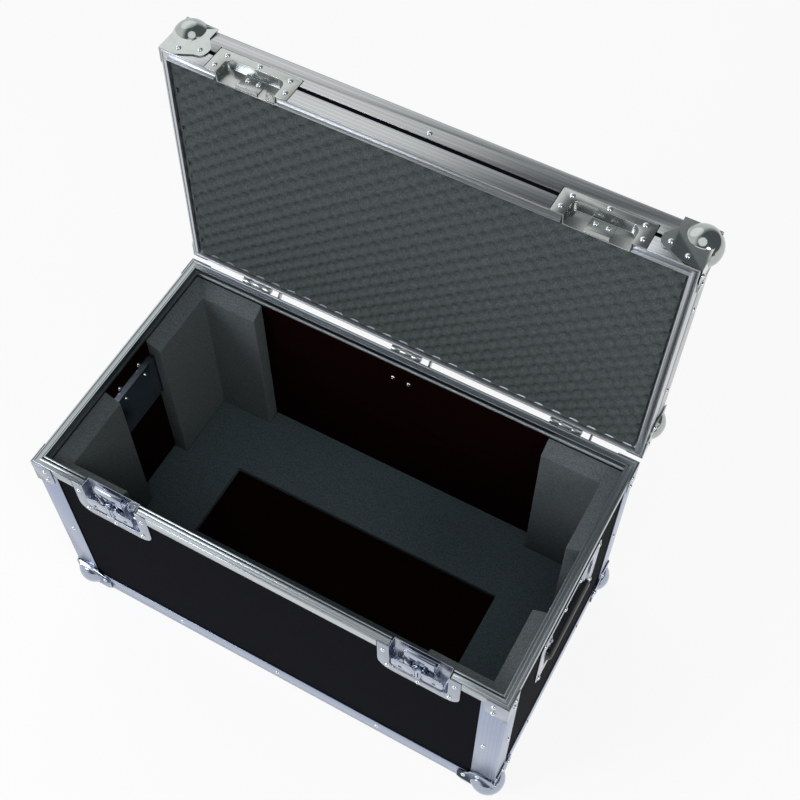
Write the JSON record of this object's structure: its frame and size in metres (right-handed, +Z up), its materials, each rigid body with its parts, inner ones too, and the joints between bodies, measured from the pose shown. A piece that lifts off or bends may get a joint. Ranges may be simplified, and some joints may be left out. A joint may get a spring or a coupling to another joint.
{
  "type": "amplifier head flight case",
  "caption": "Flight case for an amplifier head: foam-lined plywood box in aluminium edging, hinged lid, butterfly latches, sprung end handles and ball corners.",
  "frame": {"origin": "middle of the underside of the floor panel", "axes": "+Z up, -Y out of the front with the latches, +X to the right seen from the front"},
  "size_m": [0.66, 0.4427, 0.6928],
  "materials": {
    "laminate": "fine textured black laminate on plywood",
    "ply": "dark stained plywood",
    "extrusion": "satin anodised with fine lengthwise lines",
    "zinc": "bright zinc plated pressed steel",
    "chrome": "bright plated steel rod",
    "rubber": "matt moulded",
    "foam": "open cell charcoal foam"
  },
  "bodies": {
    "case": {"back_panel": "laminate", "ball_corner_back_left": "zinc", "ball_corner_back_right": "zinc", "ball_corner_front_left": "zinc", "ball_corner_front_right": "zinc", "base_front_rim": "extrusion", "base_rim": "extrusion", "bottom_angles": "extrusion", "corner_angle_back_left": "extrusion", "corner_angle_back_right": "extrusion", "corner_angle_front_left": "extrusion", "corner_angle_front_right": "extrusion", "floor_board": "ply", "floor_foam": "foam", "floor_panel": "laminate", "foam_pad_back_left": "foam", "foam_pad_back_right": "foam", "foam_pad_front_left": "foam", "foam_pad_front_right": "foam", "front_panel": "laminate", "left_handle_dish": "zinc", "left_hinge_base_leaf": "zinc", "left_latch_dish": "zinc", "left_panel": "laminate", "middle_hinge_base_leaf": "zinc", "right_handle_dish": "zinc", "right_hinge_base_leaf": "zinc", "right_latch_dish": "zinc", "right_panel": "laminate", "rim_brace_back_left": "zinc", "rim_brace_back_right": "zinc", "rim_brace_front_left": "zinc", "rim_brace_front_right": "zinc"},
    "lid": {"left_hinge_lid_leaf": "zinc", "left_lid_latch_dish": "zinc", "lid_ball_corner_back_left": "zinc", "lid_ball_corner_back_right": "zinc", "lid_ball_corner_front_left": "zinc", "lid_ball_corner_front_right": "zinc", "lid_foam": "foam", "lid_front_rim": "extrusion", "lid_rim": "extrusion", "lid_top_angles": "extrusion", "lid_top_panel": "laminate", "lid_walls": "laminate", "middle_hinge_lid_leaf": "zinc", "right_hinge_lid_leaf": "zinc", "right_lid_latch_dish": "zinc"},
    "left_knob": {"left_latch_knob": "zinc"},
    "left_hook": {"left_latch_hook": "zinc"},
    "left_knob_left_wing": {"left_latch_left_wing": "zinc"},
    "left_knob_right_wing": {"left_latch_right_wing": "zinc"},
    "left_handle": {"left_handle_bail": "chrome", "left_handle_grip": "rubber"},
    "right_knob": {"right_latch_knob": "zinc"},
    "right_hook": {"right_latch_hook": "zinc"},
    "right_knob_left_wing": {"right_latch_left_wing": "zinc"},
    "right_knob_right_wing": {"right_latch_right_wing": "zinc"},
    "right_handle": {"right_handle_bail": "chrome", "right_handle_grip": "rubber"}
  },
  "joints": [
    {"name": "lid_hinge", "type": "hinge", "parent": "case", "child": "lid", "pos_m": [0, 0.1795, 0.3185], "axis": [1, 0, 0], "range_deg": [0, 92]},
    {"name": "left_latch_twist", "type": "hinge", "parent": "case", "child": "left_knob", "pos_m": [-0.209, -0.175, 0.2925], "axis": [0, 1, 0], "range_deg": [0, 180]},
    {"name": "left_hook_draw", "type": "slide", "parent": "case", "child": "left_hook", "axis": [0, 0.5735, -0.8192], "range_m": [0, 0.0061]},
    {"name": "left_left_wing_fold", "type": "hinge", "parent": "left_knob", "child": "left_knob_left_wing", "pos_m": [-0.2126, -0.1785, 0.2925], "axis": [0, 0, 1], "range_deg": [0, 88]},
    {"name": "left_right_wing_fold", "type": "hinge", "parent": "left_knob", "child": "left_knob_right_wing", "pos_m": [-0.2054, -0.1785, 0.2925], "axis": [0, 0, -1], "range_deg": [0, 88]},
    {"name": "right_latch_twist", "type": "hinge", "parent": "case", "child": "right_knob", "pos_m": [0.209, -0.175, 0.2925], "axis": [0, 1, 0], "range_deg": [0, 180]},
    {"name": "right_hook_draw", "type": "slide", "parent": "case", "child": "right_hook", "axis": [0, 0.5735, -0.8192], "range_m": [0, 0.0061]},
    {"name": "right_left_wing_fold", "type": "hinge", "parent": "right_knob", "child": "right_knob_left_wing", "pos_m": [0.2054, -0.1785, 0.2925], "axis": [0, 0, 1], "range_deg": [0, 88]},
    {"name": "right_right_wing_fold", "type": "hinge", "parent": "right_knob", "child": "right_knob_right_wing", "pos_m": [0.2126, -0.1785, 0.2925], "axis": [0, 0, -1], "range_deg": [0, 88]},
    {"name": "left_handle_swing", "type": "hinge", "parent": "case", "child": "left_handle", "pos_m": [-0.3155, 0, 0.2575], "axis": [0, 1, 0], "range_deg": [0, 90], "stiffness_Nm_per_rad": 0.3, "springref_deg": -28.65},
    {"name": "right_handle_swing", "type": "hinge", "parent": "case", "child": "right_handle", "pos_m": [0.3155, 0, 0.2575], "axis": [0, -1, 0], "range_deg": [0, 90], "stiffness_Nm_per_rad": 0.3, "springref_deg": -28.65}
  ],
  "couplings": [
    {"joint": "left_hook_draw", "follows": "left_latch_twist", "m_per_rad": 0.0019427},
    {"joint": "right_hook_draw", "follows": "right_latch_twist", "m_per_rad": 0.0019427}
  ]
}
